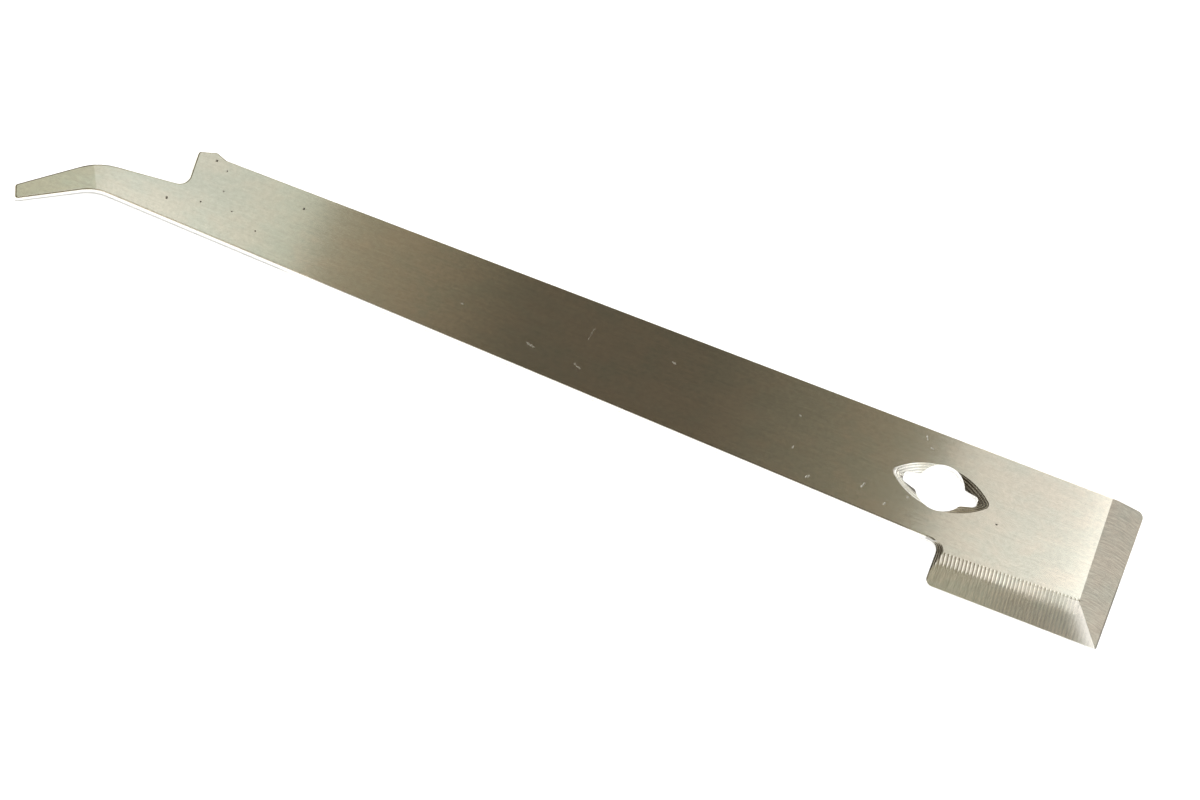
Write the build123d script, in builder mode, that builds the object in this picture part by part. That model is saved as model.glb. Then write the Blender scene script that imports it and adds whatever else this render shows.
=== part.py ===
from build123d import *
import os

os.makedirs("parts", exist_ok=True)

# A beekeeper's J-hook hive tool: one flat steel bar with a scraper blade at one end and a lifting hook at the
# other. +X runs along the bar to the blade, +Y to the straight back edge, and +Z up out of the ground face.
# The origin is the middle of the tool's footprint, on the flat underside. Sizes are in millimetres.

# ---- Blank. Places on it are (distance behind the cutting edge, distance down from the back edge) ----
overall_length = 267.0
blade_width = 35.8
nib_height = 1.0
thickness = 2.4
blade_length = 41.7
handle_width = 25.5
step_radius = 2.5
heel_radius = 1.8
back_corner_radius = 1.6
cutting_corner_radius = 0.5

# ---- Lug, notch and hook ----
nib_foot = 224.5
nib_peak = 227.1
lug_wall = 231.2
lug_corner_drop = 0.3
lug_corner_radius = 0.7
notch_root = (230.7, 9.4)
notch_radius = 2.7
outer_bend = (251.5, 11.6)
outer_bend_radius = 15.0
inner_bend = (249.9, 18.1)
inner_bend_radius = 10.5
tip_upper = (267.1, 24.1)
tip_lower = (265.9, 27.5)
tip_corner_radius = 0.7

# ---- Shallow grind that thins the tip, from a line across the bend ----
tip_thickness = 2.1
tip_grind_upper = (252.6, 12.0)
tip_grind_lower = (248.6, 20.0)

# ---- Broken edges ----
upper_edge_radius = 0.4
under_edge_radius = 0.3

# ---- Bevels of the blade, each given by the ends of its upper line ----
cutting_edge_thickness = 0.45
mitre_top = (7.35, 26.9)
end_bevel_top = (8.1, 0.0)
side_bevel_top = (41.3, 28.1)
mitre_facet_depth = 0.025

# ---- Grinding flutes along the top of the side bevel ----
flute_count = 38
flute_pitch = 0.895
flute_radius = 3.0
flute_depth = 0.10
flute_length = 3.7
flute_lean = 0.35
flute_overrun = 1.2

# ---- Run-out of the side bevel, a slanted chamfer ground round the step ----
runout_width = 1.6
runout_depth = 1.05
runout_length = 14.0

# ---- Nail-puller hole: a circle with a tapered slot on each side, and a lens-shaped countersink ----
hole_centre = (45.7, 12.9)
hole_radius = 5.7
slot_reach = 8.95
slot_end_width = 2.4
slot_middle_width = 6.6
slot_corner_radius = 0.9
slot_blend_radius = 0.8
countersink_half_length = 12.1
countersink_half_width = 5.4
countersink_end_radius = 1.2
countersink_depth = 1.25
countersink_angle = 61.0  # degrees from the hole's axis

# Two points closer than this are the same corner.
near = 0.01


def at(back, down, height=0.0):
    """The point so far behind the cutting edge, so far down from the back edge, and so high."""
    middle = (nib_height + blade_width) / 2
    return Vector(overall_length / 2 - back, middle - nib_height - down, height)


def ground_face(line_start, line_end, low_point):
    """The plane of a ground face that leaves the upper face at a line and passes through a lower point."""
    start = at(*line_start, thickness)
    along = at(*line_end, thickness) - start
    upward = along.cross(low_point - start)
    if upward.Z < 0:
        upward = upward * -1
    return Plane(origin=start, x_dir=along, z_dir=upward)


cutting_corner = at(0, blade_width, cutting_edge_thickness)
end_bevel = ground_face(end_bevel_top, mitre_top, cutting_corner)
side_bevel = ground_face(side_bevel_top, mitre_top, cutting_corner)
mitre_up = (end_bevel.z_dir + side_bevel.z_dir).normalized()
mitre_facet = Plane(origin=at(*mitre_top, thickness) - mitre_up * mitre_facet_depth, z_dir=mitre_up)
tip_grind = ground_face(tip_grind_upper, tip_grind_lower, at(*tip_upper, tip_thickness))

# The blank's corners in order, each with its fillet radius.
outline = [
    (at(0, 0), back_corner_radius),
    (at(nib_foot, 0), lug_corner_radius),
    (at(nib_peak, -nib_height), lug_corner_radius),
    (at(lug_wall, lug_corner_drop), lug_corner_radius),
    (at(*notch_root), notch_radius),
    (at(*outer_bend), outer_bend_radius),
    (at(*tip_upper), tip_corner_radius),
    (at(*tip_lower), tip_corner_radius),
    (at(*inner_bend), inner_bend_radius),
    (at(blade_length, handle_width), step_radius),
    (at(blade_length, blade_width), heel_radius),
    (at(0, blade_width), cutting_corner_radius),
]
corners = [corner for corner, radius in outline]
corner_radii = [radius for corner, radius in outline]

# Each flute starts below the side bevel at its upper line, leans a little, and comes up to the bevel at its
# far end. In the bevel's own frame X runs along that line, and -Y down the slope.
flute_run = side_bevel.from_local_coords(Vector(flute_lean, -flute_length, flute_depth))
flute_axis = (flute_run - side_bevel.origin).normalized()
flute_planes = []
for index in range(flute_count):
    flute_top = side_bevel.from_local_coords(Vector(flute_pitch * (index + 0.5), 0, -flute_depth))
    flute_planes.append(
        Plane(origin=flute_top - flute_axis * flute_overrun, x_dir=side_bevel.x_dir, z_dir=flute_axis)
    )

# The run-out has the step's own radius. It is set over by its width at the upper face, and slants back to the
# wall.
step_centre = at(blade_length + step_radius, handle_width + step_radius, thickness)
runout_start = step_centre + Vector(runout_width, 0, 0)
runout_slant = Vector(-runout_width, 0, -runout_depth)

with BuildPart() as tool_body:
    # The flat blank.
    with BuildSketch():
        with BuildLine():
            FilletPolyline(corners, radius=corner_radii, close=True)
        make_face()
    extrude(amount=thickness)
    split(bisect_by=tip_grind, keep=Keep.BOTTOM)

    # The sheared edges are broken all round. The line where the tip's grind begins isn't one of them.
    tip_grind_line = Edge.make_line(at(*tip_grind_upper, thickness), at(*tip_grind_lower, thickness))
    rim = tool_body.edges().filter_by(lambda edge: edge.center().Z > thickness / 2 + upper_edge_radius)
    rim = rim.filter_by(lambda edge: edge.center().Z < thickness + near)
    fillet([edge for edge in rim if tip_grind_line.distance_to(edge.center()) > 1], upper_edge_radius)
    fillet(tool_body.faces().sort_by(Axis.Z)[0].edges(), under_edge_radius)

    # The nail-puller hole with its slots.
    with BuildSketch(Plane(at(*hole_centre))) as hole:
        Circle(hole_radius)
        for side in (1, -1):
            with BuildLine():
                Polyline(
                    (0, slot_middle_width / 2),
                    (side * slot_reach, slot_end_width / 2),
                    (side * slot_reach, -slot_end_width / 2),
                    (0, -slot_middle_width / 2),
                    close=True,
                )
            make_face()
        slot_ends = hole.vertices().filter_by(lambda end: abs(end.X) > slot_reach - near)
        fillet(slot_ends, slot_corner_radius)
        slot_mouths = hole.vertices().filter_by(lambda mouth: abs(mouth.center().length - hole_radius) < near)
        fillet(slot_mouths, slot_blend_radius)
    extrude(amount=thickness, mode=Mode.SUBTRACT)

    # The countersink leads a nail's head down into the slots.
    with BuildSketch(Plane(at(*hole_centre, thickness))) as lens:
        with BuildLine():
            for side in (1, -1):
                ThreePointArc(
                    (-countersink_half_length, 0),
                    (0, side * countersink_half_width),
                    (countersink_half_length, 0),
                )
        make_face()
        fillet(lens.vertices(), countersink_end_radius)
    extrude(amount=-countersink_depth, taper=countersink_angle, mode=Mode.SUBTRACT)

    # The blade's two bevels meet in a mitre that runs out at the cutting corner, with its ridge ground flat.
    split(bisect_by=end_bevel, keep=Keep.BOTTOM)
    split(bisect_by=side_bevel, keep=Keep.BOTTOM)
    split(bisect_by=mitre_facet, keep=Keep.BOTTOM)

    # The row of flutes.
    with BuildSketch(*flute_planes):
        with Locations((0, flute_radius)):
            Circle(flute_radius)
    extrude(amount=flute_overrun + flute_length * 1.2, mode=Mode.SUBTRACT)

    # The run-out at the step.
    with BuildSketch(Plane(runout_start)):
        with Locations((0, -runout_length / 2)):
            SlotCenterToCenter(runout_length, 2 * step_radius, rotation=90)
    extrude(amount=runout_slant.length * 1.2, dir=runout_slant.normalized(), mode=Mode.SUBTRACT)

tool_body.part.label = "tool_body"
export_step(tool_body.part, "parts/tool_body.step")
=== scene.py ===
from math import cos, pi, radians, sin

import bpy
from mathutils import Matrix, Vector


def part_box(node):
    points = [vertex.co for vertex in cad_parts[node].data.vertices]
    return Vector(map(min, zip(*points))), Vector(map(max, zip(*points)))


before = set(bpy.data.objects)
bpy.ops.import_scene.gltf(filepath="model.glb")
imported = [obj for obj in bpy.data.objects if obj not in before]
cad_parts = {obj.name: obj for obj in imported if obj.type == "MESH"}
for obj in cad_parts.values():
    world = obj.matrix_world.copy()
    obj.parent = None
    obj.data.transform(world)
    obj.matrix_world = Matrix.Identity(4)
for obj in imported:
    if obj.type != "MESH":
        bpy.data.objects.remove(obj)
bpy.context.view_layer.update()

# A J-hook hive tool of brushed stainless steel, lying on a pale floor in soft white light. Only the steel
# sees the soft boxes overhead and the darker room. Everything is in metres and in the frame of the CAD model:
# +X along the bar to the blade, +Z up, and the floor at the lowest point.

MM = 0.001
low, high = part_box("tool_body")
middle = (low + high) / 2
scene = bpy.context.scene

# ---- Camera ----
camera_turn = radians(-2.24)
camera_drop = radians(66.73)
camera_roll = radians(18.81)
camera_distance = 2.2738
camera_aim = middle + Vector((8.2, -4.7, 0.0)) * MM
camera_lens = 300.0
camera_sensor = 36.0

# ---- Soft boxes overhead, which the tool's faces mirror ----
box_height = 0.25
# Each box: its ends along X and along Y, and its tone at its low and high X ends.
soft_boxes = {
    "hook_front": ((-0.200, -0.0795), (-0.45, -0.20), (1.3, 1.3, 1.3), (1.3, 1.3, 1.3)),
    "hook_far": ((-0.200, -0.138), (0.02, 0.40), (0.48, 0.54, 0.48), (0.62, 0.68, 0.63)),
    "hook_middle": ((-0.138, -0.100), (-0.03, 0.40), (0.96, 1.04, 1.12), (0.78, 0.84, 0.86)),
    "hook_near": ((-0.100, -0.0795), (-0.03, 0.40), (0.79, 0.85, 0.87), (0.68, 0.76, 0.74)),
    "handle_hook": ((-0.0795, -0.025), (-1.2, 1.2), (0.31, 0.275, 0.21), (0.01, 0.01, 0.005)),
    "handle_blade": ((0.030, 0.0930), (-1.2, 1.2), (0.005, 0.005, 0.004), (0.20, 0.19, 0.15)),
    "heel_zenith": ((0.0930, 0.1250), (-0.06, 0.012), (0.84, 0.88, 0.78), (0.14, 0.14, 0.13)),
    "blade_zenith": ((0.1250, 0.1650), (-0.06, 0.012), (0.14, 0.14, 0.13), (0.0, 0.0, 0.0)),
    "blade_near": ((0.0930, 0.1340), (0.012, 1.2), (0.73, 0.75, 0.79), (1.00, 1.02, 1.10)),
    "blade_front": ((0.0930, 0.3500), (-0.25, -0.06), (1.7, 1.75, 1.9), (1.7, 1.75, 1.9)),
    "edge_back": ((0.1340, 0.200), (0.012, 1.2), (1.75, 1.82, 1.98), (1.60, 1.63, 1.73)),
    "edge_front": ((0.1650, 0.200), (-0.06, 0.012), (1.9, 2.0, 2.2), (1.70, 1.75, 1.90)),
    "blade_far": ((0.200, 0.350), (-0.06, 1.2), (0.49, 0.49, 0.52), (0.43, 0.43, 0.46)),
    "blade_low": ((0.350, 0.900), (-0.10, 1.2), (1.9, 1.95, 2.1), (1.9, 1.95, 2.1)),
}

# ---- Room ----
floor_size = 6.0
floor_color = (0.80, 0.80, 0.79, 1.0)
floor_roughness = 0.9
room_light = 2.4
# The tones that the steel mirrors, overhead and towards the horizon, and the ray heights between which they
# blend.
room_tone = (0.092, 0.072, 0.047, 1.0)
horizon_tone = (0.42, 0.38, 0.30, 1.0)
horizon_band = (0.34, 0.22)

# ---- Places on the steel, in millimetres: (behind the cutting edge, down from the back edge), as in CAD ----
blade_width = 35.8
mitre_top = (7.35, 26.9)
mitre_foot = (0.0, 35.8)
end_bevel_top = (8.1, 0.0)
side_bevel_top = (41.3, 28.1)
hole_centre = (45.7, 12.9)
step_centre = (44.2, 28.0)

# Small dark pits in the upper face: place and radius.
pits = [
    ((234.0, 14.0), 0.34), ((226.5, 1.0), 0.30), ((223.5, 2.5), 0.22), ((222.5, 7.5), 0.20),
    ((226.5, 12.0), 0.16), ((219.0, 11.5), 0.18), ((212.5, 14.0), 0.18), ((204.0, 4.5), 0.30),
    ((31.0, 16.5), 0.26),
]
# Small bright nicks: place, length, width, and angle from the bar.
nicks = [
    ((144.5, 16.0), 2.3, 0.35, -12), ((133.5, 16.5), 0.6, 0.35, 0), ((132.5, 17.0), 1.0, 0.3, -10),
    ((162.5, 12.5), 0.6, 0.3, 0), ((112.5, 7.5), 1.0, 0.3, -5), ((80.5, 16.5), 0.7, 0.3, 60),
    ((81.5, 8.5), 0.5, 0.25, 0), ((75.0, 22.0), 1.3, 0.45, 40), ((62.5, 19.0), 1.5, 0.4, 70),
    ((56.5, 21.5), 0.7, 0.4, 80), ((52.0, 18.0), 0.7, 0.5, 0), ((52.5, 2.5), 1.2, 0.3, -60),
    ((50.5, 4.5), 0.8, 0.3, 0), ((132.5, 8.0), 3.2, 0.07, 80),
]
# How far the outlines of the pits and nicks wander, and how deep they are, in millimetres.
raggedness = 0.6
mark_depth = 0.05
# A pit is darkest within this share of its radius, and fades over the next share.
pit_core = 0.4
pit_edge = 0.65
# A nick's fade, by the square of the distance from its middle: 1 at its ends and sides.
nick_fade = (1.2, 0.3)

# ---- Steel: colours ----
steel_color = (0.68, 0.645, 0.53, 1.0)
cool_tint = (0.978, 1.0, 0.985, 1.0)
warm_tint = (1.02, 0.988, 0.96, 1.0)
# Colours laid over the steel in some places, each with its greatest share.
# A painted highlight on the side bevel beside its mitre.
mitre_highlight_tone = ((0.94, 0.89, 0.77, 1.0), 0.9)
# A painted highlight on the countersink's pale end.
pale_cut_highlight_tone = ((0.93, 0.92, 0.87, 1.0), 0.3)
# A painted reflection: the walls are painted nearly white, as bright as the floor they mirror.
wall_reflection_tone = ((0.97, 0.96, 0.93, 1.0), 1.0)
# Painted shade on the cut tool marks, and a painted shadow along the slots' edges.
painted_cut_shade_tone = ((0.10, 0.085, 0.07, 1.0), 0.8)
pit_tone = ((0.06, 0.055, 0.05, 1.0), 0.85)
nick_tone = ((0.95, 0.93, 0.85, 1.0), 0.5)
# Painted shade along the rims.
edge_shade_tone = ((0.10, 0.095, 0.09, 1.0), 0.6)

# ---- Steel: how much each thing changes the brightness ----
face_line_contrast = 0.30
end_line_contrast = 0.75
side_line_contrast = 0.80
comb_contrast = 0.12
stain_contrast = 0.12
mottle_contrast = 0.30
# Painted light and shade at the bar's ends.
hook_end_gain = 0.14
blade_end_gain = 0.07
upper_edge_share = 0.25
# Painted light and shade on the side bevel below the flutes.
side_bevel_gain = 0.05
side_bevel_loss = 0.20

# ---- Steel: finish ----
steel_anisotropy = 1.0
steel_roughness = 0.20
line_roughness = 0.04
flute_roughness = (0.14, 0.26)
wall_roughness = 0.30
ring_roughness = 0.55
nick_roughness = 0.45
pit_roughness = 0.6

# ---- Steel: noise cells to the millimetre, along X, Y and Z ----
streaks = (0.16, 7.0, 0.5)
streak_share = 0.6
long_streaks = (0.03, 2.2, 0.5)
long_streak_share = 0.4
end_streaks = (0.25, 2.6, 0.0)
side_streaks = (4.2, 0.22, 0.0)
wall_streaks = (5.0, 5.0, 0.6)
stains = (0.09, 0.13, 0.2)
stain_fade = (0.35, 0.65)
mottling = (0.9, 1.3, 0.5)

# ---- Steel: ground shapes, in millimetres ----
bevel_blur = 0.03
line_depth = 0.0010
end_line_middle = 128.5
end_line_bow = 0.035
flute_pitch = 0.895
# How far a flute leans for each millimetre that it runs on.
flute_lean = 0.0975
flute_length = 3.7
flute_fade = 1.2
flute_hollow = 0.15
mitre_reach = 5.2
mitre_rounding = 0.19
countersink_reach = 12.6
runout_reach = 5.2
reach_blur = 0.2
ring_pitch = 0.31
ring_depth = 0.012

# ---- Steel: fades, each from where something starts to where it is full ----
# In millimetres from the tool's middle, along X, or along Y for the lower edge.
hook_end_fade = (-68.0, -96.0)
blade_end_fade = (94.0, 108.0)
lower_edge_fade = (12.0, -4.0)
heel_fade = (91.0, 92.0)
comb_fade = (97.0, 113.0)
side_bevel_fade = (98.0, 114.0)
flute_blur_fade = (100.0, 126.0)
runout_fade = (88.2, 88.7)
# In millimetres past the side bevel's upper line.
below_flutes_fade = (2.0, 5.5)
# By the distance from the hole's centre along X, plus side_slant times that along Y.
dark_side_fade = (5.5, 8.5)
pale_side_fade = (-1.0, -4.0)
side_slant = 1.2
# By the product of the distances from the hole's centre along X and along Y, in square millimetres.
diagonal_fade = (1.0, 3.0)
# In millimetres above the underside.
bevel_height_fade = (0.30, 0.40)
cut_height_fade = (0.35, 0.45)
runout_height_fade = (0.9, 1.1)
slot_edge_shadow_height_fade = (1.75, 1.55)
face_height_fade = (2.2, 2.35)
# By how far a face turns upwards: 1 where it lies flat, and 0 on a wall.
flat_fade = (0.9, 0.99)
tilted_fade = (0.97, 0.93)
cut_tilt_fade = (0.60, 0.75)
bevel_tilt_fade = (0.55, 0.75)
wall_fade = (0.5, 0.2)
# By the square of how far a face turns towards the bar's ends.
end_wall_fade = (0.3, 0.8)
# By the height of a tool mark: -1 in its trough, and 1 on its crest.
runout_trough_fade = (0.85, 0.45)
countersink_trough_fade = (0.85, 0.30)
crest_fade = (0.6, 1.0)

# Painted shade: dark lines along the rims. Each has its share, and the fades that bound it.
edge_shade_lines = {
    "cutting_edge": (1.0, [("x", 133.05, 133.4), ("y", 5.0, -6.0)]),
    "heel": (1.0, [("x", 92.2, 91.9), ("x", 91.0, 91.2), ("y", -10.0, -11.0)]),
    "hook_tip": (1.0, [("x", -110.0, -114.0), ("z", 1.2, 1.6), ("facing_y", 0.1, 0.4)]),
    "hook_lower_edge": (0.8, [("x", -66.0, -72.0), ("z", 0.95, 0.70), ("facing_y", -0.1, -0.4)]),
    "handle": (0.7, [
        ("x", -66.0, -56.0), ("x", 89.0, 86.0), ("z", 1.7, 1.9),
        ("facing_z", 0.985, 0.92), ("facing_z", 0.15, 0.35),
    ]),
}


def add_node(tree, kind, inputs=None, **settings):
    """A new node with its settings, and its inputs linked or set."""
    made = tree.nodes.new(kind)
    for name, value in settings.items():
        setattr(made, name, value)
    for socket, value in (inputs or {}).items():
        if isinstance(socket, int):
            entry = made.inputs[socket]
        else:
            entry = next(each for each in made.inputs if each.name == socket and each.enabled)
        if isinstance(value, bpy.types.NodeSocket):
            tree.links.new(value, entry)
        else:
            entry.default_value = value
    return made


def add_mix(tree, data_type, share, first, second, **settings):
    """The output of a new Mix node: first where share is 0, and second where it is 1."""
    inputs = {"Factor": share, "A": first, "B": second}
    made = add_node(tree, "ShaderNodeMix", inputs, data_type=data_type, **settings)
    return next(each for each in made.outputs if each.enabled)


def add_camera():
    """The camera looks down at the upper face, and its roll lays the bar across the picture."""
    ahead = Vector((sin(camera_turn), cos(camera_turn), 0))
    forward = ahead * cos(camera_drop) - Vector((0, 0, sin(camera_drop)))
    level = Vector((cos(camera_turn), -sin(camera_turn), 0))
    upright = level.cross(forward)
    right = cos(camera_roll) * level + sin(camera_roll) * upright
    up = cos(camera_roll) * upright - sin(camera_roll) * level
    camera = bpy.data.objects.new("camera", bpy.data.cameras.new("camera"))
    scene.collection.objects.link(camera)
    camera.data.lens = camera_lens
    camera.data.sensor_width = camera_sensor
    turn = Matrix((right, up, -forward)).transposed().to_4x4()
    camera.matrix_world = Matrix.Translation(camera_aim - forward * camera_distance) @ turn
    scene.camera = camera


def add_floor():
    """A plain pale floor under the tool."""
    mesh = bpy.data.meshes.new("floor")
    half = floor_size / 2
    corners = [(x, y, low.z) for x, y in ((-half, -half), (half, -half), (half, half), (-half, half))]
    mesh.from_pydata(corners, [], [(0, 1, 2, 3)])
    floor = bpy.data.objects.new("floor", mesh)
    scene.collection.objects.link(floor)
    material = bpy.data.materials.new("pale_floor")
    material.use_nodes = True
    shader = material.node_tree.nodes["Principled BSDF"]
    shader.inputs["Base Color"].default_value = floor_color
    shader.inputs["Roughness"].default_value = floor_roughness
    shader.inputs["Specular IOR Level"].default_value = 0.0
    mesh.materials.append(material)


def add_room_light():
    """Soft white light from everywhere. The steel mirrors a darker room."""
    world = bpy.data.worlds.new("room")
    scene.world = world
    world.use_nodes = True
    tree = world.node_tree
    tree.nodes.clear()
    path = add_node(tree, "ShaderNodeLightPath")
    white = add_node(tree, "ShaderNodeBackground", {"Color": (1, 1, 1, 1), "Strength": room_light})
    direction = add_node(tree, "ShaderNodeTexCoord")
    upward = add_node(tree, "ShaderNodeSeparateXYZ", {0: direction.outputs["Generated"]}).outputs["Z"]
    band = {"Value": upward, "From Min": horizon_band[0], "From Max": horizon_band[1]}
    low_share = add_node(tree, "ShaderNodeMapRange", band).outputs["Result"]
    color = add_mix(tree, "RGBA", low_share, room_tone, horizon_tone)
    room = add_node(tree, "ShaderNodeBackground", {"Color": color, "Strength": 1.0})
    ends = {0: path.outputs["Is Glossy Ray"], 1: white.outputs[0], 2: room.outputs[0]}
    both = add_node(tree, "ShaderNodeMixShader", ends)
    add_node(tree, "ShaderNodeOutputWorld", {"Surface": both.outputs[0]})


def add_soft_box(name, ends_x, ends_y, tone_low, tone_high):
    """A flat lamp facing down, whose tone runs from one end along X to the other."""
    data = bpy.data.lights.new(name, "AREA")
    data.shape = "RECTANGLE"
    data.size = ends_x[1] - ends_x[0]
    data.size_y = ends_y[1] - ends_y[0]
    # At this energy the lamp's face is exactly as bright as its tone says.
    data.energy = pi * data.size * data.size_y
    data.use_nodes = True
    tree = data.node_tree
    place = add_node(tree, "ShaderNodeNewGeometry")
    along = add_node(tree, "ShaderNodeSeparateXYZ", {0: place.outputs["Position"]}).outputs["X"]
    span = {"Value": along, "From Min": ends_x[0], "From Max": ends_x[1]}
    share = add_node(tree, "ShaderNodeMapRange", span).outputs["Result"]
    color = add_mix(tree, "RGBA", share, (*tone_low, 1.0), (*tone_high, 1.0))
    tree.links.new(color, tree.nodes["Emission"].inputs["Color"])
    lamp = bpy.data.objects.new(name, data)
    scene.collection.objects.link(lamp)
    lamp.location = (sum(ends_x) / 2, sum(ends_y) / 2, low.z + box_height)
    lamp.visible_camera = False
    lamp.visible_diffuse = False


def at(back, down):
    """A place seen from above, in millimetres, in the frame of the CAD model."""
    return Vector((high.x / MM - back, low.y / MM + blade_width - down, 0))


class Nodes:
    """A material's node tree, with short calls for the kinds used here."""

    def __init__(self, name):
        self.material = bpy.data.materials.new(name)
        self.material.use_nodes = True
        self.tree = self.material.node_tree
        self.shader = self.tree.nodes["Principled BSDF"]

    def add(self, kind, inputs=None, **settings):
        """A new node in this tree."""
        return add_node(self.tree, kind, inputs, **settings)

    def feed(self, entry, output):
        """Links an output to one of the shader's inputs."""
        self.tree.links.new(output, self.shader.inputs[entry])

    def math(self, operation, *values):
        """The result of a Math node."""
        return self.add("ShaderNodeMath", dict(enumerate(values)), operation=operation).outputs[0]

    def vector(self, operation, *values, output=0):
        """The result of a Vector Math node."""
        made = self.add("ShaderNodeVectorMath", dict(enumerate(values)), operation=operation)
        return made.outputs[output]

    def product(self, first, *others):
        """All the values multiplied together."""
        for other in others:
            first = self.math("MULTIPLY", first, other)
        return first

    def largest(self, first, *others):
        """The largest of the values."""
        for other in others:
            first = self.math("MAXIMUM", first, other)
        return first

    def plus(self, base, share, amount):
        """base, plus amount times share."""
        return self.math("ADD", base, self.math("MULTIPLY", share, amount))

    def step(self, value, start, end, smooth=True):
        """0 where value is at start, 1 where it is at end, and a ramp between."""
        ramp = {"Value": value, "From Min": start, "From Max": end}
        kind = "SMOOTHSTEP" if smooth else "LINEAR"
        return self.add("ShaderNodeMapRange", ramp, interpolation_type=kind).outputs["Result"]

    def color_mix(self, share, first, second, **settings):
        """first where share is 0, and second where it is 1, as in the other two mixes."""
        return add_mix(self.tree, "RGBA", share, first, second, **settings)

    def number_mix(self, share, first, second):
        return add_mix(self.tree, "FLOAT", share, first, second)

    def vector_mix(self, share, first, second):
        return add_mix(self.tree, "VECTOR", share, first, second)

    def noise(self, place, stretch, detail=3.0, roughness=0.6):
        """Noise of one cell to the unit, once the place is stretched."""
        stretched = self.vector("MULTIPLY", place, stretch)
        inputs = {"Vector": stretched, "Scale": 1.0, "Detail": detail, "Roughness": roughness}
        return self.add("ShaderNodeTexNoise", inputs).outputs["Fac"]

    def beyond(self, place, start, end):
        """How far a place lies to the right of the line from start to end, seen from above."""
        along = (end - start).normalized()
        rightward = Vector((along.y, -along.x, 0))
        return self.along(place, start, rightward)

    def along(self, place, start, direction):
        """How far a place lies from start, measured in one direction."""
        offset = self.vector("SUBTRACT", place, start)
        return self.vector("DOT_PRODUCT", offset, direction, output="Value")

    def within(self, place, centre, reach, blur):
        """1 inside a circle, and 0 from a little way outside it."""
        gap = self.vector("DISTANCE", place, centre, output="Value")
        return self.step(gap, reach + blur, reach)


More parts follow.
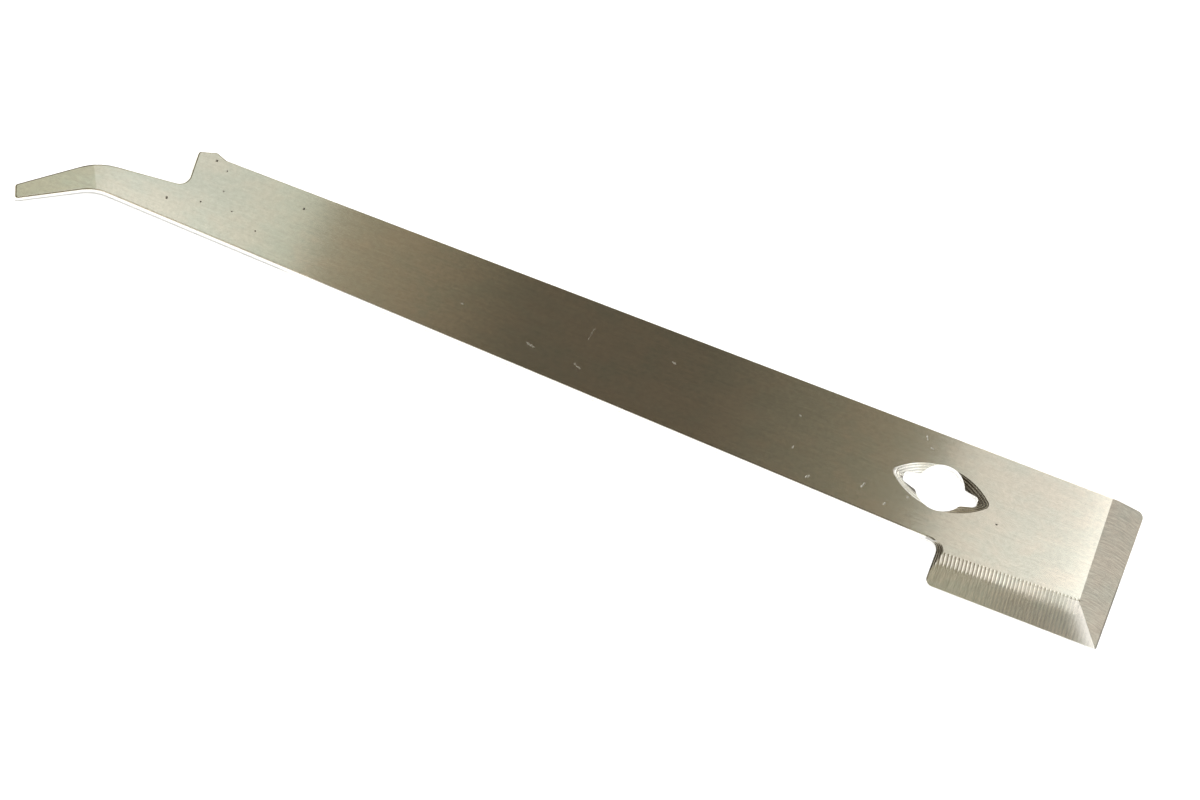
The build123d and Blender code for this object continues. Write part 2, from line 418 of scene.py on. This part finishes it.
class Steel(Nodes):
    """The tool's brushed steel. Its masks run from 0 to 1, and its places are in millimetres."""

    def __init__(self):
        super().__init__("brushed_stainless")
        whole = self.add("ShaderNodeTexCoord").outputs["Object"]
        self.place = self.vector("MULTIPLY", whole, (1 / MM, 1 / MM, 1 / MM))
        self.flat = self.vector("MULTIPLY", self.place, (1, 1, 0))
        self.x, self.y, self.z = self.add("ShaderNodeSeparateXYZ", {0: self.place}).outputs
        self.facing = self.add("ShaderNodeNewGeometry").outputs["Normal"]
        parts = self.add("ShaderNodeSeparateXYZ", {0: self.facing}).outputs
        self.facing_x, self.facing_y, self.facing_z = parts
        self.find_regions()
        self.find_cuts()
        self.find_marks()
        self.lines = self.draw_lines()
        self.shader.inputs["Metallic"].default_value = 1.0
        self.shader.inputs["Anisotropic"].default_value = steel_anisotropy
        self.feed("Tangent", self.highlight_direction())
        self.feed("Base Color", self.color())
        self.feed("Roughness", self.roughness())
        self.feed("Normal", self.bump())

    def find_regions(self):
        """The walls and the blade's two bevels."""
        upper = self.step(self.z, *bevel_height_fade)
        upper = self.product(upper, self.step(self.facing_z, *bevel_tilt_fade))
        self.wall = self.step(self.math("ABSOLUTE", self.facing_z), *wall_fade)
        self.past_mitre = self.beyond(self.flat, at(*mitre_top), at(*mitre_foot))
        self.past_side_line = self.beyond(self.flat, at(*side_bevel_top), at(*mitre_top))
        past_end_line = self.beyond(self.flat, at(*mitre_top), at(*end_bevel_top))
        self.end_bevel = self.product(
            self.step(past_end_line, -bevel_blur, bevel_blur),
            self.step(self.past_mitre, bevel_blur, -bevel_blur),
            upper,
        )
        self.side_bevel = self.product(
            self.step(self.past_side_line, -bevel_blur, bevel_blur),
            self.step(self.past_mitre, -bevel_blur, bevel_blur),
            self.step(self.x, *heel_fade),
            upper,
        )

    def find_cuts(self):
        """Tool marks ring the countersink and the run-out, where the cutter stepped down."""
        near_hole = self.within(self.flat, at(*hole_centre), countersink_reach, reach_blur)
        near_step = self.within(self.flat, at(*step_centre), runout_reach, reach_blur)
        near_step = self.product(near_step, self.step(self.x, *runout_fade))
        tilted = self.step(self.facing_z, *tilted_fade)
        steep = self.product(tilted, self.step(self.facing_z, *cut_tilt_fade))
        steep = self.product(steep, self.step(self.z, *cut_height_fade))
        self.away_from_hole = self.math("SUBTRACT", 1.0, near_hole)
        self.ringed = self.product(self.largest(near_hole, near_step), steep)
        self.ring = self.math("SINE", self.math("MULTIPLY", self.z, 2 * pi / ring_pitch))

        # The run-out is painted dark between its tool marks, and the countersink towards the blade's back
        # corner is painted dark as shade. A painted shadow darkens the slots' edges on one diagonal. The
        # other end carries a painted highlight.
        in_countersink = self.product(near_hole, steep)
        runout = self.product(near_step, tilted, self.step(self.z, *runout_height_fade))
        runout = self.product(runout, self.step(self.ring, *runout_trough_fade))
        offset = self.vector("SUBTRACT", self.flat, at(*hole_centre))
        offsets = self.add("ShaderNodeSeparateXYZ", {0: offset}).outputs
        diagonal = self.step(self.math("MULTIPLY", offsets["X"], offsets["Y"]), *diagonal_fade)
        slot_edge_shadow = self.product(diagonal, self.step(self.z, *slot_edge_shadow_height_fade), in_countersink)
        slanted = self.plus(offsets["X"], offsets["Y"], side_slant)
        back_corner_shade = self.product(self.step(slanted, *dark_side_fade), in_countersink)
        back_corner_shade = self.product(back_corner_shade, self.step(self.ring, *countersink_trough_fade))
        self.painted_cut_shade = self.largest(runout, slot_edge_shadow, back_corner_shade)
        # A painted highlight pales the countersink's other end.
        self.pale_cut_highlight = self.product(self.step(slanted, *pale_side_fade), in_countersink)

    def find_marks(self):
        """Pits and nicks, with ragged edges, in the flat upper face."""
        face = self.product(self.step(self.z, *face_height_fade), self.step(self.facing_z, *flat_fade))
        rag = self.add("ShaderNodeTexNoise", {"Vector": self.place, "Scale": 3.0, "Detail": 1.0})
        rag = self.vector("SUBTRACT", rag.outputs["Color"], (0.5, 0.5, 0.5))
        rag = self.vector("MULTIPLY", rag, (raggedness, raggedness, 0))
        ragged = self.vector("ADD", self.flat, rag)
        spots = []
        for spot, radius in pits:
            spots.append(self.within(ragged, at(*spot), radius * pit_core, radius * pit_edge))
        self.pitted = self.product(self.largest(*spots), face)
        scars = []
        for spot, length, width, angle in nicks:
            turn = radians(angle)
            lengthways = Vector((cos(turn), sin(turn), 0)) / (length / 2)
            sideways = Vector((-sin(turn), cos(turn), 0)) / (width / 2)
            along = self.along(ragged, at(*spot), lengthways)
            aside = self.along(ragged, at(*spot), sideways)
            gap = self.math("ADD", self.product(along, along), self.product(aside, aside))
            scars.append(self.step(gap, *nick_fade))
        self.nicked = self.product(self.largest(*scars), face)

    def draw_lines(self):
        """Fine lines, along the bar on the faces, bowed on the end bevel, and down the side bevel's slope."""
        short_lines = self.product(self.noise(self.place, streaks), streak_share)
        long_lines = self.noise(self.place, long_streaks, detail=2.0, roughness=0.5)
        long_lines = self.product(long_lines, long_streak_share)
        face_lines = self.math("ADD", short_lines, long_lines)
        from_middle = self.math("SUBTRACT", self.x, end_line_middle)
        bowed_y = self.plus(self.y, self.math("POWER", from_middle, 2.0), end_line_bow)
        bowed = self.add("ShaderNodeCombineXYZ", {"X": self.x, "Y": bowed_y, "Z": 0.0}).outputs[0]
        end_lines = self.noise(bowed, end_streaks)
        side_lines = self.plus(self.noise(self.place, side_streaks), self.comb(), comb_contrast)
        lines = self.number_mix(self.end_bevel, face_lines, end_lines)
        lines = self.number_mix(self.side_bevel, lines, side_lines)
        return self.number_mix(self.wall, lines, self.noise(self.place, wall_streaks))

    def comb(self):
        """The flutes carry on as faint lines down the side bevel, towards its mitre."""
        start = at(*side_bevel_top)
        onward = self.along(self.flat, start, (at(*mitre_top) - start).normalized())
        onward = self.math("SUBTRACT", onward, self.math("MULTIPLY", self.past_side_line, flute_lean))
        teeth = self.math("COSINE", self.math("MULTIPLY", onward, 2 * pi / flute_pitch))
        return self.product(teeth, self.step(self.x, *comb_fade))

    def highlight_direction(self):
        """Highlights stretch across the grain. It runs along the bar, but down the side bevel's slope, and
        round the walls that face the bar's ends."""
        endward = self.product(self.facing_x, self.facing_x)
        crossways = self.largest(self.step(endward, *end_wall_fade), self.side_bevel)
        grain = self.vector_mix(crossways, (1.0, 0.0, 0.0), (0.0, 1.0, 0.0))
        return self.vector("CROSS_PRODUCT", self.facing, grain)

    def painted_mitre_highlight(self):
        """The stretch of the side bevel beside its mitre, where a highlight is painted."""
        closeness = self.step(self.past_mitre, mitre_reach, 0.0)
        return self.product(self.math("POWER", closeness, 1.5), self.side_bevel)

    def painted_edge_shade(self):
        """Painted shade along the rims. The countersink has none."""
        followed = {
            "x": self.x,
            "y": self.y,
            "z": self.z,
            "facing_y": self.facing_y,
            "facing_z": self.facing_z,
        }
        found = []
        for share, fades in edge_shade_lines.values():
            steps = [self.step(followed[name], start, end) for name, start, end in fades]
            found.append(self.product(self.away_from_hole, *steps, share))
        return self.largest(*found)

    def shade(self, stain):
        """How bright the steel is: its fine lines, its stains, and painted light and shade across some
        stretches.
        """
        contrast = self.number_mix(self.end_bevel, face_line_contrast, end_line_contrast)
        contrast = self.number_mix(self.side_bevel, contrast, side_line_contrast)
        lines = self.plus(1.0, self.math("SUBTRACT", self.lines, 0.5), contrast)
        stained = self.plus(1.0 - stain_contrast / 2, stain, stain_contrast)
        mottle = self.noise(self.place, mottling, roughness=0.7)
        mottled = self.plus(1.0 - mottle_contrast / 2, mottle, mottle_contrast)

        # Painted light and shade: both ends are brighter towards the lower edge, and a little darker at the
        # upper one.
        hook_end = self.product(self.step(self.x, *hook_end_fade), hook_end_gain)
        blade_end = self.product(self.step(self.x, *blade_end_fade), blade_end_gain)
        lower = self.math("SUBTRACT", self.step(self.y, *lower_edge_fade), upper_edge_share)
        ends = self.plus(1.0, lower, self.math("ADD", hook_end, blade_end))

        # Painted shade: the side bevel darkens below the flutes, towards the mitre.
        below_flutes = self.product(self.step(self.past_side_line, *below_flutes_fade), self.side_bevel)
        fall = self.plus(side_bevel_gain, self.step(self.x, *side_bevel_fade), -side_bevel_loss)
        return self.product(lines, stained, mottled, ends, self.plus(1.0, below_flutes, fall))

    def color(self):
        """The tinted and shaded steel, with the other tones laid over it in turn."""
        stain = self.noise(self.place, stains)
        tint = self.color_mix(self.step(stain, *stain_fade), cool_tint, warm_tint)
        shade = self.shade(stain)
        grey = self.add("ShaderNodeCombineXYZ", {"X": shade, "Y": shade, "Z": shade}).outputs[0]
        color = self.color_mix(1.0, steel_color, tint, blend_type="MULTIPLY")
        color = self.color_mix(1.0, color, grey, blend_type="MULTIPLY")
        layers = [
            (self.painted_mitre_highlight(), mitre_highlight_tone),
            (self.pale_cut_highlight, pale_cut_highlight_tone),
            (self.wall, wall_reflection_tone),
            (self.painted_cut_shade, painted_cut_shade_tone),
            (self.pitted, pit_tone),
            (self.nicked, nick_tone),
            (self.painted_edge_shade(), edge_shade_tone),
        ]
        for where, (tone, share) in layers:
            color = self.color_mix(self.product(where, share), color, tone)
        return color

    def roughness(self):
        """The flutes blur towards the mitre, and the tool marks' crests are the roughest cuts."""
        in_flutes = self.step(self.past_side_line, flute_length, flute_length - flute_fade)
        blur = self.product(self.step(self.x, *flute_blur_fade), in_flutes)
        crests = self.product(self.ringed, self.step(self.ring, *crest_fade))
        rough = self.plus(steel_roughness, self.lines, line_roughness)
        rough = self.number_mix(self.side_bevel, rough, self.number_mix(blur, *flute_roughness))
        rough = self.number_mix(self.wall, rough, wall_roughness)
        rough = self.number_mix(crests, rough, ring_roughness)
        rough = self.number_mix(self.nicked, rough, nick_roughness)
        return self.number_mix(self.pitted, rough, pit_roughness)

    def bump(self):
        """The fine lines, the flutes' hollow tops, the mitre's rounded side, the tool marks and the spots."""
        hollow = self.math("POWER", self.step(self.past_side_line, flute_length, 0.0, smooth=False), 2.0)
        hollow = self.product(hollow, self.side_bevel, flute_hollow)
        rounding = self.math("POWER", self.step(self.past_mitre, mitre_reach, 0.0, smooth=False), 2.0)
        rounding = self.product(rounding, self.side_bevel, mitre_rounding)
        rings = self.product(self.ringed, self.ring, ring_depth)
        marks = self.product(self.largest(self.pitted, self.nicked), mark_depth)
        height = self.product(self.lines, line_depth)
        height = self.math("SUBTRACT", height, hollow)
        height = self.math("SUBTRACT", height, rounding)
        height = self.math("ADD", height, rings)
        height = self.math("SUBTRACT", height, marks)
        return self.add("ShaderNodeBump", {"Height": height, "Distance": MM, "Strength": 1.0}).outputs[0]


scene.view_settings.view_transform = "Standard"
add_camera()
add_floor()
add_room_light()
for box_name, box_facts in soft_boxes.items():
    add_soft_box(box_name, *box_facts)
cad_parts["tool_body"].material_slots[0].material = Steel().material
